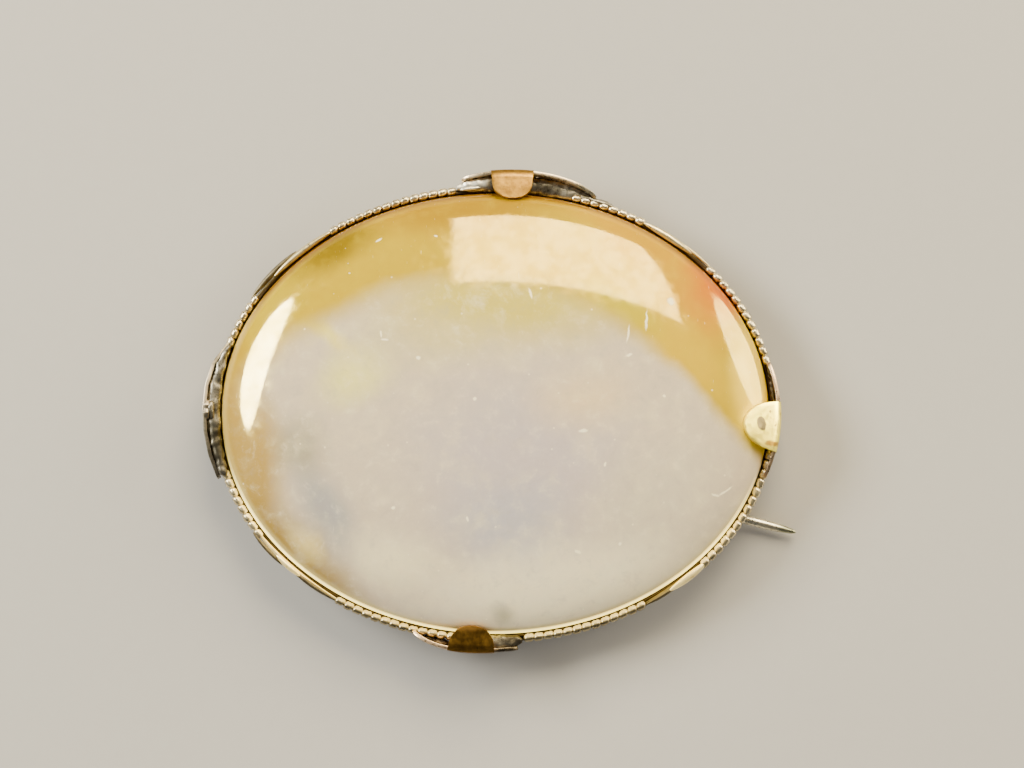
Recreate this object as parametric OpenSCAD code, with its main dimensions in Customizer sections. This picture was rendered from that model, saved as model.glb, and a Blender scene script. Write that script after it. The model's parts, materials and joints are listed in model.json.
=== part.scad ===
// Oval stone brooch: a low domed stone in a beaded oval setting with claws,
// and a hinged pin across the back. Millimetres, front face up (+Z),
// the long axis of the oval along X, lowest point of the back at z = 0.

/* [Stone] */
// Length of the stone at its widest edge
stone_length = 44.8; // [40:0.1:48]
// Width of the stone at its widest edge
stone_width = 36.2; // [33:0.1:40]
// Height of the dome above the widest edge
dome_height = 4.6; // [3.5:0.1:5.5]
// Fullness of the dome, 2 is a plain ellipsoid
dome_fullness = 2.2; // [2:0.05:2.6]
// Depth of the stone below the widest edge
back_depth = 1.7; // [1.2:0.1:2.2]
// How far the back slopes in under the widest edge
back_bevel = 0.6; // [0.3:0.1:1]

/* [Beaded setting] */
// Number of beads round the border wire
bead_count = 164; // [120:2:170]
// Radius of the border wire at the top of a bead
bead_radius = 0.32; // [0.3:0.01:0.36]
// Radius of the border wire between two beads
neck_radius = 0.24; // [0.2:0.01:0.27]
// Thickness of the band under the border wire
band_wall = 0.46; // [0.4:0.02:0.5]
// Width of the ledge that carries the stone
ledge_width = 1.7; // [1.2:0.1:2.2]
// Thickness of the ledge
ledge_thickness = 0.8; // [0.6:0.1:1]

/* [Straps and claws] */
// Thickness of the strap metal
strap_thickness = 0.3; // [0.25:0.01:0.4]
// Height of a strap
strap_height = 2.1; // [1.6:0.1:2.4]
// Thickness of a claw
claw_thickness = 0.45; // [0.44:0.01:0.5]

/* [Pin] */
// Diameter of the pin wire
pin_diameter = 0.76; // [0.6:0.02:0.8]
// Distance from the centre of the stone to the line of the pin
pin_offset = 3.1; // [1:0.1:4]
// Slope of the pin across the back, in degrees
pin_slope = 14.5; // [8:0.5:18]
// Reach of the pin's tip to the right of the centre
pin_reach = 24.8; // [23.6:0.1:25]
// How far the pin is drawn open, in degrees
pin_open = 0; // [0:5:75]

/* [Hidden] */

gold = "#cfae62";
worn_gold = "#b39457";
rose_gold = "#d8a678";
steel = "#b9b2a0";
stone_tint = "#d3c6a8";

// Heights from the lowest point of the back
knuckle_radius = 0.75;
pin_z = knuckle_radius;
back_gap = 0.32;
base_z = pin_z + pin_diameter / 2 + back_gap;
ledge_z = base_z + ledge_thickness;
seat_gap = 0.06;
stone_z = ledge_z + seat_gap;
edge_z = stone_z + back_depth;

// Half sizes of the oval
half_l = stone_length / 2;
half_w = stone_width / 2;

// Offsets outward from the edge of the stone
side_gap = 0.1;
band_in = side_gap;
band_out = band_in + band_wall;
ledge_in = band_in - ledge_width;
wire_d = side_gap + bead_radius;
wire_drop = 0.12;
wire_z = edge_z - wire_drop;

// A point beside the edge of the stone: angle round the oval, offset outward, height
function beside(angle, offset, z) =
    [(half_l + offset) * cos(angle), (half_w + offset) * sin(angle), z];

// Angles that step evenly along the edge of the oval
oval_k = (pow(half_l, 2) - pow(half_w, 2)) / (pow(half_l, 2) + pow(half_w, 2));
function even(angle) = angle + oval_k / 4 * 180 / PI * sin(2 * angle);

// Length of edge covered by one degree
function edge_per_degree(angle) =
    norm([half_l * sin(angle), half_w * cos(angle)]) * PI / 180;

// Height of the dome, or of a dome grown by a margin all over
function dome_z(p, grow = 0) =
    let (share = norm([p[0] / (half_l + grow), p[1] / (half_w + grow)]))
    edge_z + (dome_height + grow) * sqrt(max(0, 1 - pow(share, dome_fullness)));

// Closed skin over rings of equal length, joined end to end, or capped by triangles
// that fan out from the ring's corner number hub
module skin(rings, loop = false, hub = 0) {
    n = len(rings[0]);
    m = len(rings);
    last = (m - 1) * n;
    spans = loop ? m : m - 1;
    sides = [
        for (i = [0 : spans - 1], j = [0 : n - 1])
            let (i2 = (i + 1) % m, j2 = (j + 1) % n)
            each [
                [i * n + j, i * n + j2, i2 * n + j2],
                [i * n + j, i2 * n + j2, i2 * n + j]
            ]
    ];
    caps = loop ? [] : [
        for (j = [hub + 1 : hub + n - 2])
            let (j1 = j % n, j2 = (j + 1) % n)
            each [[hub, j2, j1], [last + hub, last + j1, last + j2]]
    ];
    polyhedron(points = [for (r = rings) each r], faces = concat(sides, caps));
}

// Stone: a cabochon with a low full dome, a rolled edge and a flat back
stone_sides = 96;
dome_rings = 12;
// Rings below the dome: offset outward and height above the back
EDGE_OFFSET = 0;
EDGE_HEIGHT = 1;
edge_rings = [
    [-back_bevel, 0],
    [-0.1, back_depth * 0.72],
    [0, back_depth]
];

module stone() {
    ring_list = concat(
        [for (row = edge_rings)
            [for (s = [0 : stone_sides - 1])
                beside(s * 360 / stone_sides, row[EDGE_OFFSET], stone_z + row[EDGE_HEIGHT])]],
        [for (k = [1 : dome_rings - 1])
            let (rise = 90 * k / dome_rings, share = pow(cos(rise), 2 / dome_fullness))
            [for (s = [0 : stone_sides - 1])
                [half_l * share * cos(s * 360 / stone_sides),
                 half_w * share * sin(s * 360 / stone_sides),
                 edge_z + dome_height * sin(rise)]]]
    );
    rings = len(ring_list);
    apex = rings * stone_sides;
    sides = [
        for (i = [0 : rings - 2], j = [0 : stone_sides - 1])
            let (j2 = (j + 1) % stone_sides, low = i * stone_sides, high = low + stone_sides)
            each [[low + j, high + j2, low + j2], [low + j, high + j, high + j2]]
    ];
    top = [
        for (j = [0 : stone_sides - 1])
            let (last = (rings - 1) * stone_sides)
            [last + j, apex, last + (j + 1) % stone_sides]
    ];
    back = [[for (j = [0 : stone_sides - 1]) j]];
    color(stone_tint)
        polyhedron(
            points = concat([for (r = ring_list) each r], [[0, 0, edge_z + dome_height]]),
            faces = concat(sides, top, back)
        );
}

// Border: one oval band with a ledge inside and a beaded wire along its top.
// The wire is plain where a lap covers its joint.
LAP_FROM = 0;
LAP_TO = 1;
laps = [[42, 57], [126, 147], [212, 235], [303, 318]];
plain_radius = 0.28;
wire_arc = [-38, 11, 60, 109, 158, 207];

function in_lap(angle) =
    len([for (lap = laps) if (angle > lap[LAP_FROM] && angle < lap[LAP_TO]) 1]) > 0;
function wire_radius(station, angle) =
    in_lap(angle) ? plain_radius : station % 2 == 0 ? bead_radius : neck_radius;
function border_ring(angle, r) = concat(
    [beside(angle, ledge_in, base_z),
     beside(angle, band_out, base_z),
     beside(angle, band_out, wire_z - bead_radius)],
    [for (w = wire_arc) beside(angle, wire_d + r * cos(w), wire_z + r * sin(w))],
    [beside(angle, band_in, ledge_z),
     beside(angle, ledge_in, ledge_z)]
);

module border() {
    stations = 2 * bead_count;
    color(gold)
        skin([for (i = [0 : stations - 1])
            let (angle = even(i * 360 / stations))
            border_ring(angle, wire_radius(i, angle))], loop = true);
}

// Lap: a leaf-shaped strip of plain wire over a joint in the border
lap_half_width = 0.3;
lap_half_height = 0.22;
lap_lift = 0.16;
lap_shift = 0.08;
lap_sides = 8;
lap_steps = 8;
// Share of its full size that a lap has at its ends, and how fast it swells
lap_end = 0.25;
lap_swell = 0.7;

module lap(row) {
    color(gold)
        skin([for (i = [0 : lap_steps])
            let (
                angle = row[LAP_FROM] + (row[LAP_TO] - row[LAP_FROM]) * i / lap_steps,
                size = lap_end + (1 - lap_end) * pow(sin(180 * i / lap_steps), lap_swell)
            )
            [for (s = [0 : lap_sides - 1])
                beside(angle,
                    wire_d + lap_shift + size * lap_half_width * cos(s * 360 / lap_sides),
                    wire_z + lap_lift + size * lap_half_height * sin(s * 360 / lap_sides))]]);
}

// Strap: a thin upright band bowed out over the border, soldered at both ends
STRAP_FROM = 0;
STRAP_TO = 1;
STRAP_BOW = 2;
CLAW_AT = 3;
CLAW_WIDTH = 4;
CLAW_TIP = 5;
// Angles in degrees; bow, claw width and the offset of the claw's tip in millimetres
straps = [
    [-16.5, 12.5, 0.62, -2.4, 4.1, -2.1],
    [69.5, 96.5, 1.63, 86.4, 3.7, -0.5],
    [162.5, 196, 1.2, 179.6, 1.6, 1.0],
    [253.5, 274.5, 1.3, 264.5, 3.6, -0.5]
];
TOP = 1;
BROKEN = 2;
BOTTOM = 3;
strap_drop = 1.05;
strap_low = edge_z - strap_drop;
strap_end_rise = 0.25;
strap_end_top = edge_z + strap_end_rise;
strap_bite = 0.18;
strap_end_d = band_out - strap_bite;
strap_steps = 14;
bow_swell = 0.6;
top_swell = 0.5;

// Swell along a strap, 0 at its ends and 1 at its middle
function swell(row, angle) =
    max(0, sin(180 * (angle - row[STRAP_FROM]) / (row[STRAP_TO] - row[STRAP_FROM])));
function strap_offset(row, angle) =
    strap_end_d + (row[STRAP_BOW] - strap_end_d) * pow(swell(row, angle), bow_swell);
function strap_top(row, angle) =
    strap_end_top + (strap_low + strap_height - strap_end_top) * pow(swell(row, angle), top_swell);

module strap(row, tint) {
    color(tint)
        skin([for (i = [0 : strap_steps])
            let (
                angle = row[STRAP_FROM] + (row[STRAP_TO] - row[STRAP_FROM]) * i / strap_steps,
                offset = strap_offset(row, angle),
                top = strap_top(row, angle)
            )
            [beside(angle, offset, strap_low),
             beside(angle, offset + strap_thickness, strap_low),
             beside(angle, offset + strap_thickness, top),
             beside(angle, offset, top)]]);
}

// Claw: a rounded tab of the strap, folded in over the edge of the stone
claw_steps = 10;
claw_gap = 0.12;
claw_root = 0.4;
claw_root_z = strap_low + claw_root;
// The claw stands a hair proud of its strap, and its fold a hair under the strap's top
claw_proud = 0.05;
fold_z = strap_low + strap_height - claw_proud;
fold_radius = 0.42;
// Bevel at the fold and at the tip
claw_bevel = 0.12;
tip_round = 0.04;
// The sides of a claw keep this share of its reach, and its tip is this full
claw_side = 0.22;
claw_fullness = 2.4;
// Corner of a claw's outline at the inside of its fold, which faces all the others
fold_corner = 8;

// Share of the claw's reach left at a share of its width, which rounds the tip
function claw_reach(share) =
    claw_side + (1 - claw_side) * sqrt(max(0, 1 - pow(abs(share), claw_fullness)));

function claw_ring(row, share) =
    let (
        centre = row[CLAW_AT],
        angle = centre + share * row[CLAW_WIDTH] / 2 / edge_per_degree(centre),
        outer = strap_offset(row, angle) + strap_thickness + claw_proud,
        inner = outer - claw_thickness,
        bend_d = outer - fold_radius,
        tip_d = bend_d + (row[CLAW_TIP] - bend_d) * claw_reach(share),
        full_tip = beside(centre, row[CLAW_TIP], 0),
        rest_z = dome_z(full_tip, claw_gap),
        slope = (rest_z - fold_z) / (bend_d - row[CLAW_TIP]),
        tip_z = fold_z + slope * (bend_d - tip_d),
        rise = claw_thickness
    )
    [beside(angle, inner, claw_root_z),
     beside(angle, outer, claw_root_z),
     beside(angle, outer, fold_z - claw_bevel),
     beside(angle, outer - claw_bevel, fold_z + rise - claw_bevel),
     beside(angle, bend_d, fold_z + rise),
     beside(angle, tip_d + claw_bevel, tip_z + rise),
     beside(angle, tip_d, tip_z + rise / 2),
     beside(angle, tip_d + tip_round, tip_z),
     beside(angle, bend_d, fold_z),
     beside(angle, inner, fold_z - claw_bevel / 2)];

module claw(row, tint) {
    color(tint)
        skin([for (i = [0 : claw_steps]) claw_ring(row, 2 * i / claw_steps - 1)], hub = fold_corner);
}

// Stump of the claw that broke off the left strap: share of width and height left
stump_profile = [[-1, 0.1], [-0.5, 0.42], [-0.1, 0.28], [0.3, 0.5], [0.7, 0.34], [1, 0.05]];

module stump(row) {
    color(worn_gold)
        skin([for (i = [0 : len(stump_profile) - 1])
            let (
                share = stump_profile[i][0],
                centre = row[CLAW_AT],
                angle = centre + share * row[CLAW_WIDTH] / 2 / edge_per_degree(centre),
                outer = strap_offset(row, angle) + strap_thickness + claw_proud,
                inner = outer - claw_thickness,
                top = fold_z + stump_profile[i][1]
            )
            [beside(angle, inner, claw_root_z),
             beside(angle, outer, claw_root_z),
             beside(angle, outer, top),
             beside(angle, inner, top)]]);
}

// The pin lies along its own line across the back: place() puts a shape there,
// with X along the pin from the hinge, Y across it and Z up
hinge_x = -21.3;
pin_dir = [cos(pin_slope), -sin(pin_slope)];
hinge_y = (-pin_offset - hinge_x * sin(pin_slope)) / cos(pin_slope);
pin_length = (pin_reach - hinge_x) / cos(pin_slope);

module place(open = 0) {
    translate([hinge_x, hinge_y, pin_z])
        rotate([0, 0, -pin_slope])
            rotate([0, open, 0])
                children();
}

// Hinge: two knuckles soldered under the band, with the pin's eye between them
knuckle_width = 1.5;
eye_width = 1.5;
hinge_play = 0.08;
eye_radius = 0.62;
bore_radius = 0.3;
rivet_radius = 0.27;
knuckle_y = eye_width / 2 + hinge_play;
foot_length = 1.3;
solder_bite = 0.15;
bore_cut = 8;

module knuckle(side) {
    middle_y = side * (knuckle_y + knuckle_width / 2);
    color(worn_gold)
        place()
            difference() {
                union() {
                    translate([0, middle_y, 0])
                        rotate([90, 0, 0])
                            cylinder(h = knuckle_width, r = knuckle_radius, center = true, $fn = 32);
                    translate([-foot_length / 2, middle_y - knuckle_width / 2, 0])
                        cube([foot_length, knuckle_width, base_z + solder_bite - pin_z]);
                }
                rotate([90, 0, 0])
                    cylinder(h = bore_cut, r = bore_radius, center = true, $fn = 32);
            }
}

// Rivet through the hinge, its ends hammered over
rivet_head_radius = 0.5;
rivet_head = 0.16;
rivet_play = 0.04;
rivet_length = 2 * (knuckle_y + knuckle_width) + rivet_play;

module hinge_rivet() {
    color(worn_gold)
        place()
            rotate([90, 0, 0]) {
                cylinder(h = rivet_length, r = rivet_radius, center = true, $fn = 32);
                for (side = [-1, 1])
                    translate([0, 0, side * (rivet_length + rivet_head) / 2])
                        cylinder(h = rivet_head, r = rivet_head_radius, center = true, $fn = 32);
            }
}

// Catch: a strip bent to a C and soldered under the band. The pin lies in its
// mouth, and is sprung sideways under the lip when the brooch is worn.
catch_x = 42.1;
catch_width = 2;
catch_strip = 0.3;
catch_bite = 0.08;
catch_radius = (base_z + catch_bite) / 2;
catch_centre_y = 1.02;
catch_lip_y = 0.56;
catch_foot_y = -0.7;

module catch_profile() {
    centre_z = catch_radius - pin_z;
    difference() {
        union() {
            translate([catch_centre_y, centre_z])
                circle(r = catch_radius, $fn = 48);
            translate([catch_foot_y, centre_z + catch_radius - catch_strip])
                square([catch_centre_y - catch_foot_y, catch_strip]);
        }
        translate([catch_centre_y, centre_z])
            circle(r = catch_radius - catch_strip, $fn = 48);
        translate([catch_foot_y - 1, centre_z - catch_radius - 1])
            square([catch_lip_y - catch_foot_y + 1, 2 * catch_radius - catch_strip + 1]);
    }
}

module catch() {
    color(worn_gold)
        place()
            translate([catch_x - catch_width / 2, 0, 0])
                rotate([90, 0, 90])
                    linear_extrude(catch_width)
                        catch_profile();
}

// The setting: band, wire, laps, straps, claws, hinge and catch in one soldered piece
module setting() {
    union() {
        border();
        for (row = laps)
            lap(row);
        for (i = [0 : len(straps) - 1])
            strap(straps[i], i == TOP ? rose_gold : gold);
        for (i = [0 : len(straps) - 1])
            if (i != BROKEN)
                claw(straps[i], i == TOP ? rose_gold : i == BOTTOM ? worn_gold : gold);
        stump(straps[BROKEN]);
        for (side = [-1, 1])
            knuckle(side);
        catch();
    }
}

// Pin: an eye on the rivet, a stout root, the plain stem, a slight taper and the tip
pin_radius = pin_diameter / 2;
root_radius = pin_radius + 0.07;
root_end_radius = pin_radius + 0.03;
root_end = 2.4;
taper_start = 39.2;
taper_radius = pin_radius - 0.03;
tip_length = 1.7;
tip_start = pin_length - tip_length;
tip_radius = 0.1;

// A round length of the pin from one place along it to another
module stem(from, to, r1, r2) {
    rotate([0, 90, 0])
        translate([0, 0, from])
            cylinder(h = to - from, r1 = r1, r2 = r2, $fn = 32);
}

module pin() {
    color(steel)
        place(pin_open)
            difference() {
                union() {
                    rotate([90, 0, 0])
                        cylinder(h = eye_width, r = eye_radius, center = true, $fn = 32);
                    stem(0, root_end, root_radius, root_end_radius);
                    stem(root_end, taper_start, pin_radius, pin_radius);
                    stem(taper_start, tip_start, pin_radius, taper_radius);
                    stem(tip_start, pin_length, taper_radius, tip_radius);
                }
                rotate([90, 0, 0])
                    cylinder(h = bore_cut, r = bore_radius, center = true, $fn = 32);
            }
}

stone();
setting();
hinge_rivet();
pin();
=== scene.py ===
import json
import math

import bpy
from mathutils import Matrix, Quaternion, Vector


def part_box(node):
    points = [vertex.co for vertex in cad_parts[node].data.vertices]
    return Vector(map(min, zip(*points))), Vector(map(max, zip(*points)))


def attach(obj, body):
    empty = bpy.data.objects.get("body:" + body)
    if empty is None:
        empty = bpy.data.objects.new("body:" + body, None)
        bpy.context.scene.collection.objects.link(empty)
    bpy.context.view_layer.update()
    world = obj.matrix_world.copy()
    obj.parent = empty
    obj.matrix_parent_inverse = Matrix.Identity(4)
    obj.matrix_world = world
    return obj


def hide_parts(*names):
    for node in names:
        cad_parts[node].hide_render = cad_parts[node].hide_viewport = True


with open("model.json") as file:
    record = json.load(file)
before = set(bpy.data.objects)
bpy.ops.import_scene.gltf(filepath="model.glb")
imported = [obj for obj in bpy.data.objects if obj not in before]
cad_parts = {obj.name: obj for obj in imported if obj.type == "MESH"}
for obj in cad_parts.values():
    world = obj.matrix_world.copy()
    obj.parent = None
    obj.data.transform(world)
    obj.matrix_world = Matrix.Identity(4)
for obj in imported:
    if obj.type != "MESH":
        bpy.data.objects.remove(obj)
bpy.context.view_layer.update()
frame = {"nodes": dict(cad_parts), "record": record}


# Stone: one oval cabochon of milky chalcedony with an ochre skin along its upper side.
# It is cut with a low full dome, a rolled edge and a flat back with a bevel, and
# polished all over. It drops into the collet from above and rests on the ledge.
MM = 0.001
stone_low, stone_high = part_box("stone")
half_length = stone_high[0]
half_width = stone_high[1]
DOME_HEIGHT = 4.6 * MM
DOME_FULLNESS = 2.2
BACK_BEVEL = 0.6 * MM
EDGE_ROLL = 0.1 * MM
EDGE_ROLL_SHARE = 0.72
girdle_z = stone_high[2] - DOME_HEIGHT
back_depth = girdle_z - stone_low[2]
STONE_SIDES = 192
DOME_RINGS = 36


def set_aside():
    """Leave nothing selected, in object mode."""
    if bpy.context.object and bpy.context.object.mode != "OBJECT":
        bpy.ops.object.mode_set(mode="OBJECT")
    bpy.ops.object.select_all(action="DESELECT")


def take_up(piece):
    """Select one piece alone, ready to work on."""
    set_aside()
    piece.select_set(True)
    bpy.context.view_layer.objects.active = piece


def begin(name):
    """Name the primitive just added, bake its place, and open it for editing."""
    piece = bpy.context.object
    piece.name = name
    bpy.ops.object.transform_apply()
    bpy.ops.object.mode_set(mode="EDIT")
    bpy.ops.mesh.select_mode(type="VERT")
    bpy.ops.mesh.select_all(action="SELECT")
    return piece


def pull(move):
    """Extrude what is selected by a move."""
    bpy.ops.mesh.extrude_region_move(TRANSFORM_OT_translate={"value": move})


def resize(factors, centre=(0, 0, 0)):
    """Scale what is selected about a centre."""
    bpy.ops.transform.resize(value=factors, center_override=centre)


def raise_rings(rows):
    """Raise the selected ring through rows of half length, half width and height."""
    for last, row in zip(rows, rows[1:]):
        pull((0, 0, row[2] - last[2]))
        resize((row[0] / last[0], row[1] / last[1], 1), (0, 0, row[2]))


def oval_ring(name, sides, row):
    """An open oval ring of the row's half length, half width and height."""
    set_aside()
    bpy.ops.mesh.primitive_circle_add(vertices=sides, radius=1, fill_type="NOTHING")
    piece = begin(name)
    resize((row[0], row[1], 1))
    bpy.ops.transform.translate(value=(0, 0, row[2]))
    return piece


def open_all(piece):
    """Open a piece for editing with all of its mesh selected."""
    take_up(piece)
    bpy.ops.object.mode_set(mode="EDIT")
    bpy.ops.mesh.select_all(action="SELECT")


def close_holes(piece):
    """Fill every open ring of a piece."""
    open_all(piece)
    bpy.ops.mesh.fill_holes(sides=0)
    bpy.ops.object.mode_set(mode="OBJECT")


def face_outwards(piece):
    """Turn all faces of a piece outwards."""
    open_all(piece)
    bpy.ops.mesh.normals_make_consistent(inside=False)
    bpy.ops.object.mode_set(mode="OBJECT")


def finish_skin(piece, smooth_angle=40):
    """Turn all faces outwards and smooth the shading where the surface is round."""
    face_outwards(piece)
    bpy.ops.object.shade_smooth_by_angle(angle=math.radians(smooth_angle))


def beside(offset, height):
    """Half length, half width and height of an oval that lies outside the stone's edge."""
    return (half_length + offset, half_width + offset, height)


def dome_row(rise):
    """A ring of the dome at an angle of rise, 0 at the girdle and 90 at the top."""
    share = math.cos(math.radians(rise)) ** (2 / DOME_FULLNESS)
    height = girdle_z + DOME_HEIGHT * math.sin(math.radians(rise))
    return (half_length * share, half_width * share, height)


stone_rows = [
    beside(-BACK_BEVEL, stone_low[2]),
    beside(-EDGE_ROLL, stone_low[2] + back_depth * EDGE_ROLL_SHARE),
    beside(0, girdle_z),
]
stone_rows += [dome_row(90 * k / DOME_RINGS) for k in range(1, DOME_RINGS)]
stone = oval_ring("cabochon", STONE_SIDES, stone_rows[0])
raise_rings(stone_rows)
pull((0, 0, stone_high[2] - stone_rows[-1][2]))
bpy.ops.mesh.merge(type="CENTER")
close_holes(stone)
finish_skin(stone, smooth_angle=50)


def tone(red, green, blue):
    """A colour as the eye reads it, 0 to 255, made linear for the shader."""
    parts = [c / 255 for c in (red, green, blue)]
    linear = [c / 12.92 if c <= 0.04045 else ((c + 0.055) / 1.055) ** 2.4 for c in parts]
    return (*linear, 1)


def new_finish(name):
    """An empty material, its node tree and its surface shader."""
    finish = bpy.data.materials.new(name)
    finish.use_nodes = True
    tree = finish.node_tree
    return finish, tree, tree.nodes["Principled BSDF"]


def fit(tree, node, settings):
    """Set a node by name, to a value or to another node's output that feeds it."""
    for name, value in settings.items():
        if isinstance(value, bpy.types.NodeSocket):
            tree.links.new(value, node.inputs[name])
        elif isinstance(name, int) or name in node.inputs:
            node.inputs[name].default_value = value
        else:
            setattr(node, name, value)
    return node


def put(tree, kind, settings=None):
    """Add a node and set it."""
    return fit(tree, tree.nodes.new("ShaderNode" + kind), settings or {})


MIX_FACTOR = 0
MIX_A = 6
MIX_B = 7
MIX_RESULT = 2


def blend(tree, factor, under, over):
    """Lay one colour over another by a factor; each may be a socket or a colour."""
    mix = put(tree, "Mix", {"data_type": "RGBA", MIX_FACTOR: factor, MIX_A: under, MIX_B: over})
    return mix.outputs[MIX_RESULT]


def ramp(tree, source, low, high, to_low=0.0, to_high=1.0):
    """Stretch a value smoothly from one range to another."""
    settings = {
        "interpolation_type": "SMOOTHSTEP",
        "Value": source,
        "From Min": low,
        "From Max": high,
        "To Min": to_low,
        "To Max": to_high,
    }
    return put(tree, "MapRange", settings).outputs["Result"]


def times(tree, first, second):
    """The product of two values, each a socket or a number."""
    return put(tree, "Math", {"operation": "MULTIPLY", 0: first, 1: second}).outputs[0]


def plus(tree, first, second):
    """The sum of two values."""
    return put(tree, "Math", {"operation": "ADD", 0: first, 1: second}).outputs[0]


def greater(tree, first, second):
    """The larger of two values; the first may be missing."""
    if first is None:
        return second
    return put(tree, "Math", {"operation": "MAXIMUM", 0: first, 1: second}).outputs[0]


# Taller than any piece, in millimetres, so that a patch reaches through all of it
FLAT = 1000


def patch(tree, place, centre, radii, core, fade, turn=0):
    """1 inside an oval patch and 0 outside it, in millimetres seen from above."""
    settings = {
        "vector_type": "TEXTURE",
        "Vector": place,
        "Location": (*centre, 0),
        "Rotation": (0, 0, math.radians(turn)),
        "Scale": (*radii, FLAT),
    }
    fitted = put(tree, "Mapping", settings).outputs[0]
    length = put(tree, "VectorMath", {"operation": "LENGTH", 0: fitted}).outputs["Value"]
    return ramp(tree, length, core, fade, 1.0, 0.0)


# Half length and half width of the stone's outline, in millimetres
STONE_OVAL = (22.4, 18.1)


def edge(tree, place, inner, outer):
    """0 inside the stone's outline and 1 along it, from one share of its size to another."""
    inside = patch(tree, place, (0, 0), STONE_OVAL, inner, outer)
    return put(tree, "Math", {"operation": "SUBTRACT", 0: 1.0, 1: inside}).outputs[0]


def low_side(tree, place):
    """1 along the lower edge, where light that entered above leaves the stone."""
    return patch(tree, place, (-2, -22), (36, 24), 0.7, 1.0)


def paint(tree, place, colour, patches):
    """Lay soft oval patches over a colour, one after the other."""
    for patch_colour, centre, radii, core, turn, strength in patches:
        share = times(tree, patch(tree, place, centre, radii, core, 1.0, turn), strength)
        colour = blend(tree, share, colour, tone(*patch_colour))
    return colour


def in_millimetres(tree):
    """The place on the piece, in millimetres."""
    metres = put(tree, "TexCoord").outputs["Object"]
    return put(tree, "Mapping", {"Vector": metres, "Scale": (1000, 1000, 1000)}).outputs[0]


def noise(tree, place, scale, detail=2.0, rough=0.5, stretch=None):
    """Soft random values about 0.5, with scale in features per millimetre."""
    if stretch:
        place = put(tree, "Mapping", {"Vector": place, "Scale": stretch}).outputs[0]
    settings = {"Vector": place, "Scale": scale, "Detail": detail, "Roughness": rough}
    return put(tree, "TexNoise", settings).outputs["Fac"]


def drift(tree, place, scale, reach):
    """The place pushed about by soft noise, so that a patch has a natural edge."""
    field = put(tree, "TexNoise", {"Vector": place, "Scale": scale, "Detail": 3.0}).outputs["Color"]
    centring = {"operation": "SUBTRACT", 0: field, 1: (0.5, 0.5, 0.5)}
    centred = put(tree, "VectorMath", centring).outputs[0]
    push = put(tree, "VectorMath", {"operation": "SCALE", 0: centred, "Scale": reach}).outputs[0]
    return put(tree, "VectorMath", {"operation": "ADD", 0: place, 1: push}).outputs[0]


def emboss(tree, relief, strength, depth):
    """A slight relief, its depth in millimetres."""
    settings = {"Height": relief, "Strength": strength, "Distance": depth * MM}
    return put(tree, "Bump", settings).outputs[0]


BLACK = (0, 0, 0, 1)
MILK = tone(212, 195, 167)
OCHRE = tone(194, 164, 0)

stone_finish, tree, shader = new_finish("milky_chalcedony")
place = in_millimetres(tree)
cloudy = drift(tree, place, 0.16, 3.0)
edgy = drift(tree, place, 0.35, 1.3)
# Clouds in the milky heart: colour, centre and half sizes in millimetres, the share of its
# size at which the patch begins to fade, turn in degrees, strength
heart_patches = [
    ((196, 182, 180), (2, -4), (13, 10), 0.2, 0, 0.85),
    ((182, 178, 182), (1, -9.5), (8, 6), 0.1, 0, 0.8),
    ((212, 200, 172), (14, -9), (9, 9), 0.2, 0, 0.8),
    # This pale cloud along the lower side is partly painted light: it lightens the lower side,
    # where little light falls
    ((255, 244, 204), (5, -14.6), (17, 5.0), 0.2, 8, 0.75),
    ((208, 190, 66), (1, 8.8), (15, 4.8), 0.2, 0, 0.9),
    ((214, 200, 120), (-5, 5.6), (11, 3.6), 0.0, 0, 0.5),
    ((236, 206, 146), (7, 1), (6, 4), 0.0, 10, 0.6),
    ((236, 226, 132), (-11.5, 2.5), (4.6, 3.2), 0.0, 25, 0.95),
    ((240, 222, 104), (-13.4, 5.8), (3.8, 1.0), 0.0, -32, 0.9),
    ((166, 162, 158), (-13.6, -8.0), (3.2, 6.0), 0.1, 30, 0.95),
    ((248, 236, 190), (-8, -12), (6, 3.4), 0.0, -20, 0.8),
    ((168, 158, 132), (-15.8, -3), (3.6, 3.8), 0.1, 0, 0.95),
    ((176, 142, 54), (-20.4, -4.5), (4.4, 10), 0.35, 0, 0.9),
    ((160, 128, 44), (-17.4, -13.2), (11.5, 5.4), 0.4, -40, 0.9),
    ((236, 212, 130), (-15.6, -10.6), (2.8, 1.4), 0.0, -30, 0.8),
    ((146, 140, 110), (0.8, -16.6), (1.8, 1.2), 0.0, 0, 0.6),
]
heart = paint(tree, cloudy, MILK, heart_patches)
veil = noise(tree, place, 0.45, 5.0, 0.6)
heart = blend(tree, ramp(tree, veil, 0.45, 0.8, 0.0, 0.4), heart, tone(236, 222, 178))
wisps = noise(tree, cloudy, 0.9, 6.0, 0.7)
heart = blend(tree, ramp(tree, wisps, 0.5, 0.78, 0.0, 0.4), heart, tone(250, 240, 206))
heart = blend(tree, ramp(tree, wisps, 0.5, 0.25, 0.0, 0.3), heart, tone(176, 164, 148))
# Bands in the ochre skin, with the same columns
skin_patches = [
    ((196, 170, 0), (-17.5, 9), (3.5, 4.5), 0.2, 0, 0.7),
    ((128, 104, 0), (-13.2, 13.4), (6.5, 2.6), 0.2, 34, 0.95),
    ((164, 124, 0), (-3.5, 17.4), (14.5, 4.0), 0.3, 0, 0.9),
    ((200, 150, 0), (11.5, 15.2), (9, 4.4), 0.3, -34, 0.9),
    ((214, 140, 0), (16.6, 9), (4.2, 6), 0.1, 20, 0.7),
    ((212, 66, 0), (18.7, 10.9), (3.6, 4.6), 0.15, 32, 0.9),
    ((212, 176, 0), (15.4, 4.4), (3.4, 6.5), 0.3, 38, 0.95),
    ((198, 178, 0), (9.6, 8.6), (6.0, 1.6), 0.3, -32, 0.9),
    ((255, 220, 70), (20.8, 2), (2.4, 6), 0.1, 0, 0.8),
    ((172, 134, 30), (-21.4, 0), (2.2, 9), 0.2, 0, 0.8),
]
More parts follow.
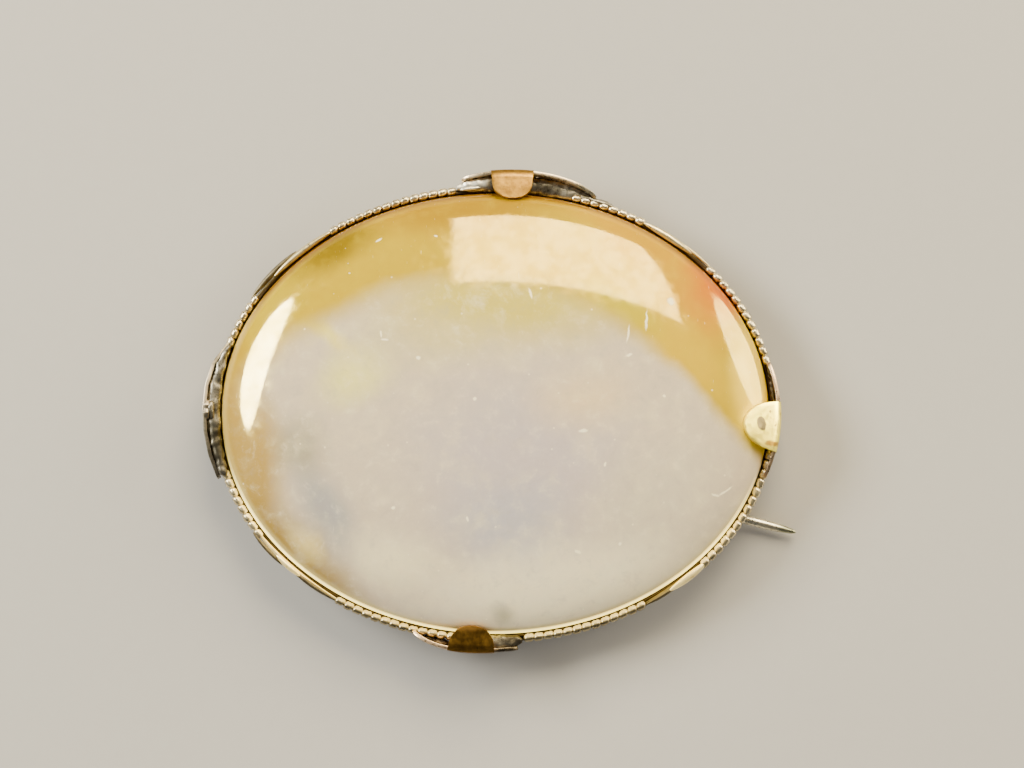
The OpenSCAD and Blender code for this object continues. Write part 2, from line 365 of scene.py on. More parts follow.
skin = paint(tree, cloudy, OCHRE, skin_patches)
skin = blend(tree, ramp(tree, veil, 0.5, 0.85, 0.0, 0.3), skin, tone(222, 194, 10))
# The heart is the union of four ovals: centre and half sizes, the shares of its size at
# which an oval begins to fade and ends, turn
heart_ovals = [
    ((-2, -5.3), (19.2, 16.5), 0.90, 1.04, 0),
    ((-9, -3.5), (13.5, 12), 0.80, 1.1, 0),
    ((12, -9.5), (13, 11), 0.9, 1.03, -35),
    ((8.6, -5.6), (12, 11), 0.9, 1.04, -54),
]
inside = None
for centre, radii, core, fade, turn in heart_ovals:
    inside = greater(tree, inside, patch(tree, edgy, centre, radii, core, fade, turn))
body_colour = blend(tree, inside, skin, heart)
# Painted shade: the edge along the upper half is painted browner
edge_share = edge(tree, place, 0.966, 0.99)
high_side = patch(tree, place, (-4, 22), (34, 26), 0.6, 1.0)
shade = times(tree, times(tree, edge_share, high_side), 0.9)
body_colour = blend(tree, shade, body_colour, tone(120, 76, 0))
# A cream strip just inside the left edge
left_side = patch(tree, place, (-24, 1), (7, 16), 0.5, 1.0)
strip_share = times(tree, times(tree, edge_share, left_side), 0.5)
body_colour = blend(tree, strip_share, body_colour, tone(226, 196, 110))
# Painted light: the lower edge, where light that entered above leaves the stone, is painted
# paler and given a faint emission, most of all in its last third of a millimetre
lower = low_side(tree, place)
glow = times(tree, times(tree, edge_share, lower), 0.8)
body_colour = blend(tree, glow, body_colour, tone(214, 194, 120))
lit_share = times(tree, times(tree, edge(tree, place, 0.985, 0.994), lower), 0.95)
body_colour = blend(tree, lit_share, body_colour, tone(255, 244, 190))
leaving_light = blend(tree, lit_share, BLACK, tone(255, 222, 112))
# Small chips and scratches in the polish: centre and half sizes in millimetres, turn in
# degrees
MARKS = [
    ((-6.2, 4.0), (0.2, 0.17), 0),
    ((-1.6, 0.7), (0.17, 0.15), 0),
    ((-8.2, -8.1), (0.18, 0.16), 0),
    ((6.7, -11.6), (0.26, 0.13), -30),
    ((13.7, 1.0), (0.16, 0.14), 0),
    ((10.1, -10.9), (0.15, 0.15), 0),
    ((-2.2, -9.0), (0.12, 0.26), 10),
    ((8.9, -4.6), (0.12, 0.22), -15),
    ((7.1, -1.9), (0.42, 0.16), 10),
    ((17.9, -6.9), (0.36, 0.09), -10),
    ((18.7, -6.6), (0.72, 0.09), 32),
    ((10.8, 6.0), (0.10, 0.75), -8),
    ((10.9, 4.3), (0.30, 0.12), 30),
    ((12.3, 7.2), (0.09, 0.85), -4),
    ((14.3, 8.8), (0.30, 0.36), 20),
    ((-9.2, 6.0), (0.09, 0.34), 10),
    ((-8.9, 5.5), (0.34, 0.09), -10),
    ((-9.5, 13.9), (0.30, 0.09), 25),
    ((-4.8, 14.2), (0.16, 0.09), -20),
    ((2.9, 9.3), (0.10, 0.5), 14),
]
marks = None
rough_place = drift(tree, place, 1.6, 0.35)
for centre, radii, turn in MARKS:
    marks = greater(tree, marks, patch(tree, rough_place, centre, radii, 0.5, 1.25, turn))
dust = put(tree, "TexVoronoi", {"Vector": place, "Scale": 0.62}).outputs["Distance"]
dust_share = ramp(tree, dust, 0.03, 0.075, 0.5, 0.0)
hair = noise(tree, place, 1.5, 2.0, 0.7, stretch=(6.0, 0.7, 1.0))
hair_share = ramp(tree, hair, 0.69, 0.76, 0.0, 0.22)
pale_marks = greater(tree, marks, greater(tree, dust_share, hair_share))
body_colour = blend(tree, pale_marks, body_colour, tone(255, 246, 214))
haze = noise(tree, place, 1.3, 5.0, 0.7)
polish = ramp(tree, haze, 0.38, 0.68, 0.04, 0.17)
worn_polish = plus(tree, polish, times(tree, pale_marks, 0.4))
# The film of polish is patchy, and rubbed off along the edge
film = ramp(tree, noise(tree, place, 0.7, 5.0, 0.7), 0.36, 0.64, 0.1, 0.6)
film_side = patch(tree, place, (0, 0), STONE_OVAL, 0.9, 0.98)
ripple = noise(tree, place, 1.1, 3.0, stretch=(1.0, 0.5, 1.0))
relief = plus(tree, times(tree, pale_marks, -0.5), ripple)
stone_surface = {
    "Base Color": body_colour,
    "Roughness": worn_polish,
    "IOR": 1.58,
    "Specular Tint": tone(255, 230, 128),
    "Coat Weight": times(tree, film, film_side),
    "Coat Roughness": 0.05,
    "Subsurface Weight": 0.3,
    "Subsurface Radius": (1.0, 0.8, 0.55),
    "Subsurface Scale": 1.4 * MM,
    "Emission Color": leaving_light,
    "Emission Strength": 3.0,
    "Normal": emboss(tree, relief, 0.2, 0.02),
}
fit(tree, shader, stone_surface)


def hand_over(piece, finish, body="brooch", node="setting"):
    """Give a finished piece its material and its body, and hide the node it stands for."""
    piece.data.materials.clear()
    piece.data.materials.append(finish)
    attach(piece, body)
    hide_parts(node)


hand_over(stone, stone_finish, node="stone")


# Collet: an oval band of gilt metal with a ledge inside it, which carries the stone.
# It is rolled from strip and soldered, and its lower rim is filed flat.
SIDE_GAP = 0.1 * MM
BAND_WALL = 0.46 * MM
LEDGE_WIDTH = 1.7 * MM
SEAT_GAP = 0.06 * MM
LEDGE_THICKNESS = 0.8 * MM
WIRE_DROP = 0.12 * MM
band_in = SIDE_GAP
band_out = band_in + BAND_WALL
ledge_in = band_in - LEDGE_WIDTH
ledge_z = stone_low[2] - SEAT_GAP
base_z = ledge_z - LEDGE_THICKNESS
wire_z = girdle_z - WIRE_DROP
BAND_SIDES = 240
BAND_EDGE = 0.06 * MM
# The rim of the band: how far it falls away to the outside, and how wide its inner lip is
RIM_FALL = 0.2 * MM
RIM_LIP = 0.1 * MM
# How close together corners are merged, and from which angle an edge counts as sharp
WELD = 0.001 * MM
SHARP = math.radians(35)


def apply_modifier(piece, kind, **settings):
    """Put one modifier on a piece with these settings, and apply it."""
    take_up(piece)
    bpy.ops.object.modifier_add(type=kind)
    modifier = piece.modifiers[-1]
    for name, value in settings.items():
        setattr(modifier, name, value)
    bpy.ops.object.modifier_apply(modifier=modifier.name)


def soften(piece, width, segments=2):
    """Round the sharp edges of a piece by a small bevel."""
    limit = {"limit_method": "ANGLE", "angle_limit": SHARP}
    apply_modifier(piece, "BEVEL", width=width, segments=segments, **limit)


def weld(piece, distance):
    """Merge the corners of a piece that lie within this distance of each other."""
    open_all(piece)
    bpy.ops.mesh.remove_doubles(threshold=distance)
    bpy.ops.object.mode_set(mode="OBJECT")


def wear(piece, depth, grain):
    """Give a piece the slight waviness of handwork."""
    unevenness = bpy.data.textures.new(piece.name + "_unevenness", "CLOUDS")
    unevenness.noise_scale = grain
    apply_modifier(piece, "DISPLACE", texture=unevenness, strength=depth, mid_level=0.5)


band_rows = [
    beside(ledge_in, base_z),
    beside(band_out, base_z),
    beside(band_out, wire_z - RIM_FALL),
    beside(band_in + RIM_LIP, wire_z),
    beside(band_in, wire_z - RIM_LIP),
    beside(band_in, ledge_z),
    beside(ledge_in, ledge_z),
    beside(ledge_in, base_z),
]
band = oval_ring("collet_band", BAND_SIDES, band_rows[0])
raise_rings(band_rows)
weld(band, WELD)
face_outwards(band)
soften(band, BAND_EDGE)
finish_skin(band)


def metal(name, bright, dull, grime_and_shade, polish, dulled=0.5, zones=(), brushed=0.35, pits=0.0):
    """Worn metal: two tones that drift, grime and painted shade in the hollows, fine scratches.

    polish is the roughness of its brightest places, dulled the strength of its dull tone,
    brushed the depth of its scratches and pits the darkness of its pits. zones are places
    of another colour, some of them painted light or shade: centre, half sizes and turn as
    seen from above, in millimetres and degrees, then softness, colour and strength.
    degrees, then softness, colour and strength.
    """
    finish, tree, shader = new_finish(name)
    place = in_millimetres(tree)
    broad = ramp(tree, noise(tree, place, 0.9, 3.0, 0.6), 0.3, 0.75)
    colour = blend(tree, times(tree, broad, dulled), tone(*bright), tone(*dull))
    lines = noise(tree, place, 2.2, 3.0, 0.6, stretch=(5.0, 0.6, 1.0))
    streak = ramp(tree, lines, 0.56, 0.72, 0.0, min(0.5, 0.35 * brushed))
    colour = blend(tree, streak, colour, tone(*grime_and_shade))
    if pits:
        pitted = ramp(tree, noise(tree, place, 2.4, 6.0, 0.75), 0.47, 0.66, 0.0, pits)
        colour = blend(tree, pitted, colour, tone(*grime_and_shade))
    for centre, radii, turn, softness, spot_colour, strength in zones:
        moved = drift(tree, place, 1.2, 0.8 * softness)
        spot = patch(tree, moved, centre, radii, 1 - softness, 1.0, turn)
        colour = blend(tree, times(tree, spot, strength), colour, tone(*spot_colour))
    # Grime and painted shade: the hollows, found by ambient occlusion, are darkened towards the
    # grime colour
    hollow = put(tree, "AmbientOcclusion", {"samples": 8, "Distance": 0.24 * MM})
    depth = ramp(tree, hollow.outputs["AO"], 0.25, 0.85, 1.0, 0.0)
    fleck = ramp(tree, noise(tree, place, 3.5, 4.0, 0.65), 0.42, 0.7, 0.35, 1.0)
    colour = blend(tree, times(tree, depth, fleck), colour, tone(*grime_and_shade))
    fine = noise(tree, place, 2.4, 4.0, 0.6)
    scratch = noise(tree, place, 5.0, 3.0, 0.7, stretch=(3.0, 0.5, 1.0))
    dents = noise(tree, place, 1.6, 2.0)
    relief = plus(tree, times(tree, scratch, brushed), dents)
    surface = {
        "Base Color": colour,
        "Metallic": 1.0,
        "Roughness": ramp(tree, fine, 0.3, 0.75, polish, polish + 0.18),
        "Normal": emboss(tree, relief, 0.3, 0.03),
    }
    fit(tree, shader, surface)
    return finish


gilt = metal("worn_gilt", (78, 64, 44), (50, 40, 27), (14, 10, 6), 0.32, 0.7)
hand_over(band, gilt)


# Beaded wire: a round wire rolled between grooved dies into small barrels, with a faint
# waist in each, laid along the top of the collet and soldered. It is plain under the laps
# at the corners of the oval, and cut away where a strap and its solder took its place.
BEAD_COUNT = 164
BEAD_RADIUS = 0.34 * MM
BEAD_SIDES = 8
NECK_SHARE = 0.45
# Each bead: share of its length, share of its radius
BEAD_PROFILE = [
    (0.0, NECK_SHARE), (0.13, 0.86), (0.32, 1.02), (0.5, 0.94), (0.68, 1.02), (0.87, 0.86),
]
BEAD_SLANT = 12
BEAD_WELD = 0.005 * MM
# How deep the wire is worn, and how far apart the dents lie: bead by bead, and in waves
WIRE_WEAR = 0.12 * MM
BEAD_GRAIN = 0.6 * MM
WIRE_GRAIN = 2.2 * MM
wire_d = SIDE_GAP + BEAD_RADIUS
# How many degrees one step of a guide covers, and the fewest steps that it has
PATH_STEP = 0.5
LEAST_STEPS = 8


def guide(name, places, closed=False):
    """A guide through these places, flat in X and Y, that a piece is bent along."""
    curve = bpy.data.curves.new(name, "CURVE")
    curve.dimensions = "3D"
    curve.twist_mode = "Z_UP"
    line = curve.splines.new("POLY")
    line.points.add(len(places) - 1)
    for point, (x, y) in zip(line.points, places):
        point.co = (x, y, 0, 1)
    line.use_cyclic_u = closed
    path = bpy.data.objects.new(name, curve)
    bpy.context.collection.objects.link(path)
    return path


def lay_path(name, start, end, offset_at):
    """A guide beside the stone's edge, counter-clockwise, with its offset by angle."""
    whole = end - start == 360
    steps = max(LEAST_STEPS, round((end - start) / PATH_STEP))
    places = []
    for i in range(steps if whole else steps + 1):
        angle = start + (end - start) * i / steps
        d = offset_at(angle)
        x = (half_length + d) * math.cos(math.radians(angle))
        y = (half_width + d) * math.sin(math.radians(angle))
        places.append((x, y))
    return guide(name, places, whole)


def path_length(path):
    """The length of a guide."""
    line = path.data.splines[0]
    places = [Vector(point.co[:3]) for point in line.points]
    if line.use_cyclic_u:
        places.append(places[0])
    return sum((b - a).length for a, b in zip(places, places[1:]))


def run(start, end, offset_at):
    """The length of a guide from one angle to another."""
    path = lay_path("measure", start, end, offset_at)
    length = path_length(path)
    bpy.data.objects.remove(path)
    return length


def bend_along(piece, path):
    """Bend a straight piece along a guide: X follows it and Y points to the stone."""
    apply_modifier(piece, "CURVE", object=path, deform_axis="POS_X")
    bpy.data.objects.remove(path)


def rod(name, sides, rows, slant=0):
    """An open rod drawn along X; rows hold place, half width and half height."""
    set_aside()
    bpy.ops.mesh.primitive_circle_add(vertices=sides, radius=1, rotation=(0, math.pi / 2, 0))
    piece = begin(name)
    first = rows[0]
    resize((1, first[1], first[2]))
    if slant:
        turn = math.radians(slant)
        bpy.ops.transform.rotate(value=turn, orient_axis="Z", center_override=(0, 0, 0))
    bpy.ops.transform.translate(value=(first[0], 0, 0))
    for last, row in zip(rows, rows[1:]):
        pull((row[0] - last[0], 0, 0))
        along = row[1] / last[1] if slant else 1
        resize((along, row[1] / last[1], row[2] / last[2]), (row[0], 0, 0))
    return piece


def shift(piece, move):
    """Move a piece's mesh."""
    open_all(piece)
    bpy.ops.transform.translate(value=move)
    bpy.ops.object.mode_set(mode="OBJECT")


# Where the wire has no beads, by angle round the oval
BARE_SPANS = [
    (3, 12), (41, 57), (74.5, 97), (126, 149), (164, 194), (213, 235), (268, 275), (303, 318),
]


def wire_offset(angle):
    """How far the middle of the wire lies outside the stone's edge: the same all round."""
    return wire_d


wire_path = lay_path("wire_path", 0, 360, wire_offset)
wire_length = path_length(wire_path)
bead_pitch = wire_length / BEAD_COUNT
bead_rows = [
    (bead_pitch * at, BEAD_RADIUS * share, BEAD_RADIUS * share) for at, share in BEAD_PROFILE
]
bead_rows.append((bead_pitch, bead_rows[0][1], bead_rows[0][2]))
wire = rod("beaded_wire", BEAD_SIDES, bead_rows, slant=BEAD_SLANT)
apply_modifier(
    wire,
    "ARRAY",
    count=BEAD_COUNT,
    use_relative_offset=False,
    use_constant_offset=True,
    constant_offset_displace=(bead_pitch, 0, 0),
    use_merge_vertices=True,
    merge_threshold=BEAD_WELD,
)


def pick_faces(piece, wanted):
    """Open a piece with only the faces selected for which wanted gives true."""
    take_up(piece)
    bpy.ops.object.mode_set(mode="EDIT")
    bpy.ops.mesh.select_mode(type="FACE")
    bpy.ops.mesh.select_all(action="DESELECT")
    bpy.ops.object.mode_set(mode="OBJECT")
    for face in piece.data.polygons:
        face.select = wanted(face)
    bpy.ops.object.mode_set(mode="EDIT")


def cut_out(piece, spans):
    """Delete the faces whose middle lies in one of the spans along X."""
    pick_faces(piece, lambda face: any(low < face.center.x < high for low, high in spans))
    bpy.ops.mesh.delete(type="FACE")
    bpy.ops.object.mode_set(mode="OBJECT")


def whole_beads(angle):
    """The length along the wire at an angle, rounded to whole beads."""
    return round(run(0, angle, wire_offset) / bead_pitch) * bead_pitch


cut_out(wire, [(whole_beads(start), whole_beads(end)) for start, end in BARE_SPANS])
bend_along(wire, wire_path)
weld(wire, BEAD_WELD)
shift(wire, (0, 0, wire_z))
for grain in (BEAD_GRAIN, WIRE_GRAIN):
    wear(wire, WIRE_WEAR, grain)
close_holes(wire)
finish_skin(wire, smooth_angle=60)
GREY_METAL = (140, 132, 106)
GREY_ZONES = [
    ((0.5, 19.6), (7.0, 2.4), 0, 0.6, GREY_METAL, 0.6),
    ((-23.0, 0.5), (3.4, 6.5), 0, 0.5, GREY_METAL, 0.85),
]
# The wire's last zone is painted shade: it darkens the lower half of the wire, on the side away
# from the light.
beading = metal(
    "beaded_gilt", (250, 236, 196), (188, 170, 134), (20, 16, 11), 0.24, 0.6,
    zones=GREY_ZONES + [((2, -21), (30, 16), 0, 0.4, (104, 90, 62), 0.6)],
)


def lit_by_stone(finish, reach, strength):
    """Paint the glow of the stone's lower edge on the inner side of a metal, as a faint emission.

    reach is how far outside the stone's edge it ends, in millimetres.
    """
    tree = finish.node_tree
    shader = tree.nodes["Principled BSDF"]
    place = in_millimetres(tree)
    reached = (STONE_OVAL[0] + reach, STONE_OVAL[1] + reach)
    inner = patch(tree, place, (0, 0), reached, 0.984, 1.0)
    share = times(tree, inner, low_side(tree, place))
    light = blend(tree, share, BLACK, tone(255, 222, 130))
    fit(tree, shader, {"Emission Color": light, "Emission Strength": strength})


lit_by_stone(beading, 0.55, 1.1)
hand_over(wire, beading)


# Laps: smooth leaf-shaped strips where the beaded wires meet at the four corners. Each
# is a tapered blank of plain wire, laid over the joint, burnished down and soldered.
LAP_SIDES = 14
LAP_STEPS = 16
# How thin a lap's ends are as a share, and how full its middle is; less is fuller
LAP_END = 0.22
LAP_SWELL = 0.65
# A lap: name, start and end in degrees, then in millimetres its offset from the stone, half
# width, half height and lift over the wire's middle, and whether it is bright
LAPS = [
    ("core_1", 40, 58, 0.40, 0.20, 0.16, -0.06, False),
    ("core_2", 125, 150, 0.40, 0.20, 0.16, -0.06, False),
    ("core_3", 211, 236, 0.40, 0.20, 0.16, -0.06, True),
    ("core_4", 302, 319, 0.40, 0.20, 0.16, -0.06, False),
    ("upper_right", 45, 57.5, 0.44, 0.30, 0.24, 0.14, True),
    ("upper_right_thin", 39.5, 49, 0.62, 0.13, 0.16, 0.10, True),
    ("upper_left", 125.5, 142.5, 0.42, 0.26, 0.24, 0.14, True),
    ("upper_left_outer", 135, 150, 0.72, 0.24, 0.22, 0.02, False),
    ("lower_left_outer", 211.5, 221.5, 0.74, 0.17, 0.20, 0.04, False),
    ("lower_left", 219.0, 226, 0.50, 0.24, 0.24, 0.16, True),
    ("lower_left_tail", 223, 236, 0.52, 0.20, 0.18, 0.02, False),
    ("lower_right", 308.5, 319, 0.50, 0.30, 0.24, 0.18, True),
    ("lower_right_tail", 302.5, 311, 0.52, 0.18, 0.18, 0.02, False),
]

smooth_gilt = metal(
    "burnished_gilt", (255, 240, 186), (214, 186, 122), (36, 24, 12), 0.26, 0.5, brushed=0.15
)
lit_by_stone(smooth_gilt, 0.85, 0.9)
dull_gilt = metal("dull_gilt", (134, 124, 98), (84, 74, 56), (20, 16, 11), 0.34, 0.6)


def bulge(share, least, fullness):
    """The size of a tapered piece along its length: least at its ends and 1 in its middle."""
    return least + (1 - least) * max(0, math.sin(math.pi * share)) ** fullness


for name, start, end, offset, half_w, half_h, lift, is_bright in LAPS:
    lap_path = lay_path("lap_path", start, end, lambda angle: offset * MM)
    length = path_length(lap_path)
    lap_rows = []
    for i in range(LAP_STEPS + 1):
        share = i / LAP_STEPS
        size = bulge(share, LAP_END, LAP_SWELL)
        lap_rows.append((length * share, half_w * MM * size, half_h * MM * size))
    lap = rod("lap_" + name, LAP_SIDES, lap_rows)
    close_holes(lap)
    bend_along(lap, lap_path)
    shift(lap, (0, 0, wire_z + lift * MM))
    finish_skin(lap, smooth_angle=60)
    hand_over(lap, smooth_gilt if is_bright else dull_gilt)


# Straps: four thin upright bands, one at each end of the two axes, bowed out over the
# beaded wire and soldered to it at both ends. Each was cut from sheet with a claw.
STRAP_THICKNESS = 0.3 * MM
STRAP_HEIGHT = 2.1 * MM
STRAP_DROP = 1.05 * MM
STRAP_END_RISE = 0.25 * MM
STRAP_EDGE = 0.05 * MM
HAND_WEAR = 0.05 * MM
STRAP_GRAIN = 1.4 * MM
# A strap: start and end in degrees, bow, then its claw's place in degrees, width and the
# offset of its tip, and how far the strap's two ends stand off the stone, in millimetres
STRAPS = {
    "right": (-16.5, 12.5, 0.62, -3.9, 4.05, -2.1, 0.38, 0.38),
    "top": (69.5, 96.5, 1.60, 86.6, 3.45, -0.5, 0.75, 1.05),
    "left": (162.5, 196, 1.2, 179.6, 1.6, 1.0, 0.38, 0.95),
    "bottom": (253.5, 274.5, 1.3, 265.3, 3.75, -0.5, 0.38, 1.05),
}
# How many straight lengths a strap is bent from
STRAP_STEPS = {"right": 40, "top": 40, "left": 6, "bottom": 40}
STRAP_CUTS = 5
# How full the bow of a strap and the rise of its upper edge are; less is fuller
BOW_SWELL = 0.6
TOP_SWELL = 0.5
strap_low = girdle_z - STRAP_DROP
strap_end_top = girdle_z + STRAP_END_RISE


def swell(side, angle):
    """0 at the ends of a strap and 1 at its middle."""
    start, end = STRAPS[side][:2]
    return max(0.0, math.sin(math.pi * (angle - start) / (end - start)))


def strap_offset(side, angle):
    """How far the inner face of a strap stands outside the stone's edge."""
    start, end, bow = STRAPS[side][:3]
    start_off, end_off = STRAPS[side][-2:]
    along = (angle - start) / (end - start)
    end_d = (start_off + (end_off - start_off) * along) * MM
    return end_d + (bow * MM - end_d) * swell(side, angle) ** BOW_SWELL


def strap_top(side, angle):
    """The height of a strap's upper edge."""
    full = strap_low + STRAP_HEIGHT
    return strap_end_top + (full - strap_end_top) * swell(side, angle) ** TOP_SWELL


def strap_path(side):
    """A guide along the inner face of a strap."""
    start, end = STRAPS[side][:2]
    return lay_path("strap_path", start, end, lambda angle: strap_offset(side, angle))


def strap_run(side, angle):
    """The length along the inner face of a strap up to an angle."""
    return run(STRAPS[side][0], angle, lambda place: strap_offset(side, place))


def strip(name, rows, cuts):
    """A flat upright strip along X; rows hold place, lower edge and upper edge.

    A plane is squeezed to an upright line, which is cut and drawn out from row to row.
    """
    set_aside()
    bpy.ops.mesh.primitive_plane_add(size=1, rotation=(math.pi / 2, 0, 0))
    piece = begin(name)
    first = rows[0]
    height = first[2] - first[1]
    resize((0, 1, height))
    bpy.ops.mesh.remove_doubles(threshold=WELD)
    bpy.ops.transform.translate(value=(first[0], 0, first[1] + height / 2))
    bpy.ops.mesh.subdivide(number_cuts=cuts)
    for last, row in zip(rows, rows[1:]):
        growth = (row[2] - row[1]) / (last[2] - last[1])
        pull((row[0] - last[0], 0, 0))
        resize((1, 1, growth), (row[0], 0, last[1]))
        bpy.ops.transform.translate(value=(0, 0, row[1] - last[1]))
    bpy.ops.object.mode_set(mode="OBJECT")
    return piece


rose = metal(
    "rose_gilt", (182, 140, 60), (138, 100, 44), (60, 34, 18), 0.28, 0.7, brushed=0.3, pits=0.25
)
rose_edge = metal(
    "rose_edge_metal", (255, 232, 190), (240, 204, 158), (84, 56, 36), 0.24, 0.5, brushed=0.15,
    zones=[((7.9, 17.9), (2.2, 1.5), 0, 0.5, (206, 198, 172), 0.95)],
)
yellow = metal(
    "yellow_gilt", (255, 246, 120), (255, 236, 104), (96, 62, 14), 0.28, 0.6,
    brushed=0.2, pits=0.12,
    zones=[
        ((21.68, -1.08), (0.42, 0.64), 14, 0.2, (116, 108, 100), 0.95),
        ((22.4, -0.1), (0.10, 0.14), 0, 0.4, (120, 104, 84), 0.8),
        ((22.9, -1.2), (0.08, 0.10), 0, 0.4, (120, 104, 84), 0.7),
        ((22.8, 1.0), (0.10, 0.10), 0, 0.4, (120, 104, 84), 0.7),
        ((22.6, -2.7), (0.9, 0.35), 0, 0.6, (150, 96, 34), 0.8),
    ],
)
brown = metal(
    "brown_gilt", (146, 110, 46), (90, 64, 24), (26, 17, 8), 0.34, 0.8, brushed=1.2,
    zones=[((-1.9, -17.5), (1.8, 0.6), 0, 0.8, (206, 152, 74), 0.7)],
)
# Its zone is a painted highlight: it pales the upper part of the left strap's outer edge, where the
# light falls on it.
grey = metal(
    "tarnished_metal", (160, 151, 132), (92, 86, 74), (22, 19, 15), 0.34, 0.8, pits=0.3,
    zones=[((-23.8, 2.8), (1.0, 3.4), 0, 0.5, (244, 226, 196), 0.85)],
)
pale = metal(
    "bare_edge_metal", (236, 204, 164), (168, 140, 108), (38, 27, 20), 0.24, 0.6,
    zones=[((2.2, -19.4), (3.0, 1.4), 0, 0.4, (74, 68, 56), 0.95)],
)
STRAP_FINISH = {"right": pale, "top": rose_edge, "left": grey, "bottom": pale}

for side, (start, end, *_) in STRAPS.items():
    steps = STRAP_STEPS[side]
    angles = [start + (end - start) * i / steps for i in range(steps + 1)]
    strap_rows = [(strap_run(side, at), strap_low, strap_top(side, at)) for at in angles]
    band_strap = strip("strap_" + side, strap_rows, STRAP_CUTS)
    shift(band_strap, (0, -STRAP_THICKNESS / 2, 0))
    apply_modifier(band_strap, "SOLIDIFY", thickness=STRAP_THICKNESS, offset=0)
    soften(band_strap, STRAP_EDGE)
    bend_along(band_strap, strap_path(side))
    wear(band_strap, HAND_WEAR, STRAP_GRAIN)
    finish_skin(band_strap)
    hand_over(band_strap, STRAP_FINISH[side])


# Claws: rounded tabs of the straps at the top, the right and the bottom, folded in
# and burnished down on the edge of the stone. The top one is rose gold, the right one
# bright yellow with a worn grey spot, and the bottom one brown with age.
CLAW_THICKNESS = 0.42 * MM
CLAW_PROUD = 0.05 * MM
CLAW_GAP = 0.10 * MM
CLAW_ROOT = 0.4 * MM
# The shape of a claw: the straight share of its sides, and how full its end is
CLAW_OUTLINES = {"top": (0.42, 2.3), "right": (0.14, 2.2), "bottom": (0.06, 2.3)}
# Where a claw has its first cuts, as shares of the way up to the fold, and the least width
# of its end as a share, so that it has no sharp point
CLAW_ROOT_STEPS = (0, 0.5, 0.8)
CLAW_END = 0.004
CLAW_EDGE = 0.13 * MM
CLAW_GRAIN = 1.2 * MM
FOLD_RADIUS = 0.32 * MM
FOLD_REACH = 0.42 * MM
FOLD_STEPS = 8
# The guide of a fold goes on this far, past the tip of any claw
FOLD_GUIDE = 5 * MM
CLAW_CUTS = 11
CLAW_STEPS = 14
fold_z = strap_low + STRAP_HEIGHT - CLAW_PROUD
claw_root_z = strap_low + CLAW_ROOT


def dome_z(x, y, grow):
    """The height at a place of the dome, grown by a margin all over."""
    share = math.hypot(x / (half_length + grow), y / (half_width + grow))
    return girdle_z + (DOME_HEIGHT + grow) * math.sqrt(max(0.0, 1 - share**DOME_FULLNESS))


def fold_path(corner_z, slope):
    """A guide that rises from the claw's root and leans inwards from the fold.

    Its second value is the length along it at which the fold ends.
    """
    turn = math.pi / 2 - slope
    tangent = FOLD_RADIUS * math.tan(turn / 2)
    places = [(0, claw_root_z), (0, corner_z - tangent)]
    for i in range(1, FOLD_STEPS + 1):
        angle = turn * i / FOLD_STEPS
        x = FOLD_RADIUS * (1 - math.cos(angle))
        y = corner_z - tangent + FOLD_RADIUS * math.sin(angle)
        places.append((x, y))
    x, y = places[-1]
    places.append((x + FOLD_GUIDE * math.cos(slope), y + FOLD_GUIDE * math.sin(slope)))
    fold_at = (corner_z - tangent - claw_root_z) + FOLD_RADIUS * turn
    return guide("fold_path", places), fold_at


def claw(side, finish):
    """One claw, cut as a flat tab, folded, and bent to follow its strap."""
    centre, width, tip = STRAPS[side][3:6]
    width *= MM
    tip *= MM
    outer = strap_offset(side, centre) + STRAP_THICKNESS + CLAW_PROUD
    fold_d = outer - FOLD_REACH
    tip_x = (half_length + tip) * math.cos(math.radians(centre))
    tip_y = (half_width + tip) * math.sin(math.radians(centre))
    rise = dome_z(tip_x, tip_y, CLAW_GAP) - fold_z
    slope = math.atan2(rise, fold_d - tip)
    middle = CLAW_THICKNESS / 2
    # The line of the tab's middle meets the upright line of its root here
    corner_z = fold_z + middle - (FOLD_REACH - middle) * math.tan(slope)
    path, fold_at = fold_path(corner_z, slope)
    tip_at = fold_at + math.hypot(fold_d - tip, rise)
    side_share, fullness = CLAW_OUTLINES[side]
    rows = [(fold_at * share, -width / 2, width / 2) for share in CLAW_ROOT_STEPS]
    for i in range(CLAW_STEPS + 1):
        share = math.sin(math.pi / 2 * i / CLAW_STEPS)
        beyond = max(0.0, (share - side_share) / (1 - side_share))
        half = width / 2 * max(CLAW_END, 1 - beyond**2) ** (1 / fullness)
        rows.append((fold_at + (tip_at - fold_at) * share, -half, half))
    tab = strip("claw_" + side, rows, CLAW_CUTS)
    apply_modifier(tab, "SOLIDIFY", thickness=CLAW_THICKNESS, offset=0)
    soften(tab, CLAW_EDGE, segments=3)
    bend_along(tab, path)
    tab.rotation_euler = (math.pi / 2, 0, math.pi / 2)
    bpy.ops.object.transform_apply()
    shift(tab, (strap_run(side, centre), middle - STRAP_THICKNESS - CLAW_PROUD, 0))
    bend_along(tab, strap_path(side))
    wear(tab, HAND_WEAR, CLAW_GRAIN)
    finish_skin(tab)
    hand_over(tab, finish)
    return tab


claw("top", rose)
claw("bottom", brown)
right_claw = claw("right", yellow)


# Stump: what is left of the fourth claw on the left strap, snapped off at its fold
# and never mended, so its top is ragged and as grey as the strap.
STUMP_CUTS = 6
STUMP_WEAR = 0.07 * MM
STUMP_GRAIN = 0.5 * MM
# How far it stands inside the outer face of the strap
STUMP_LEAN = 0.12 * MM
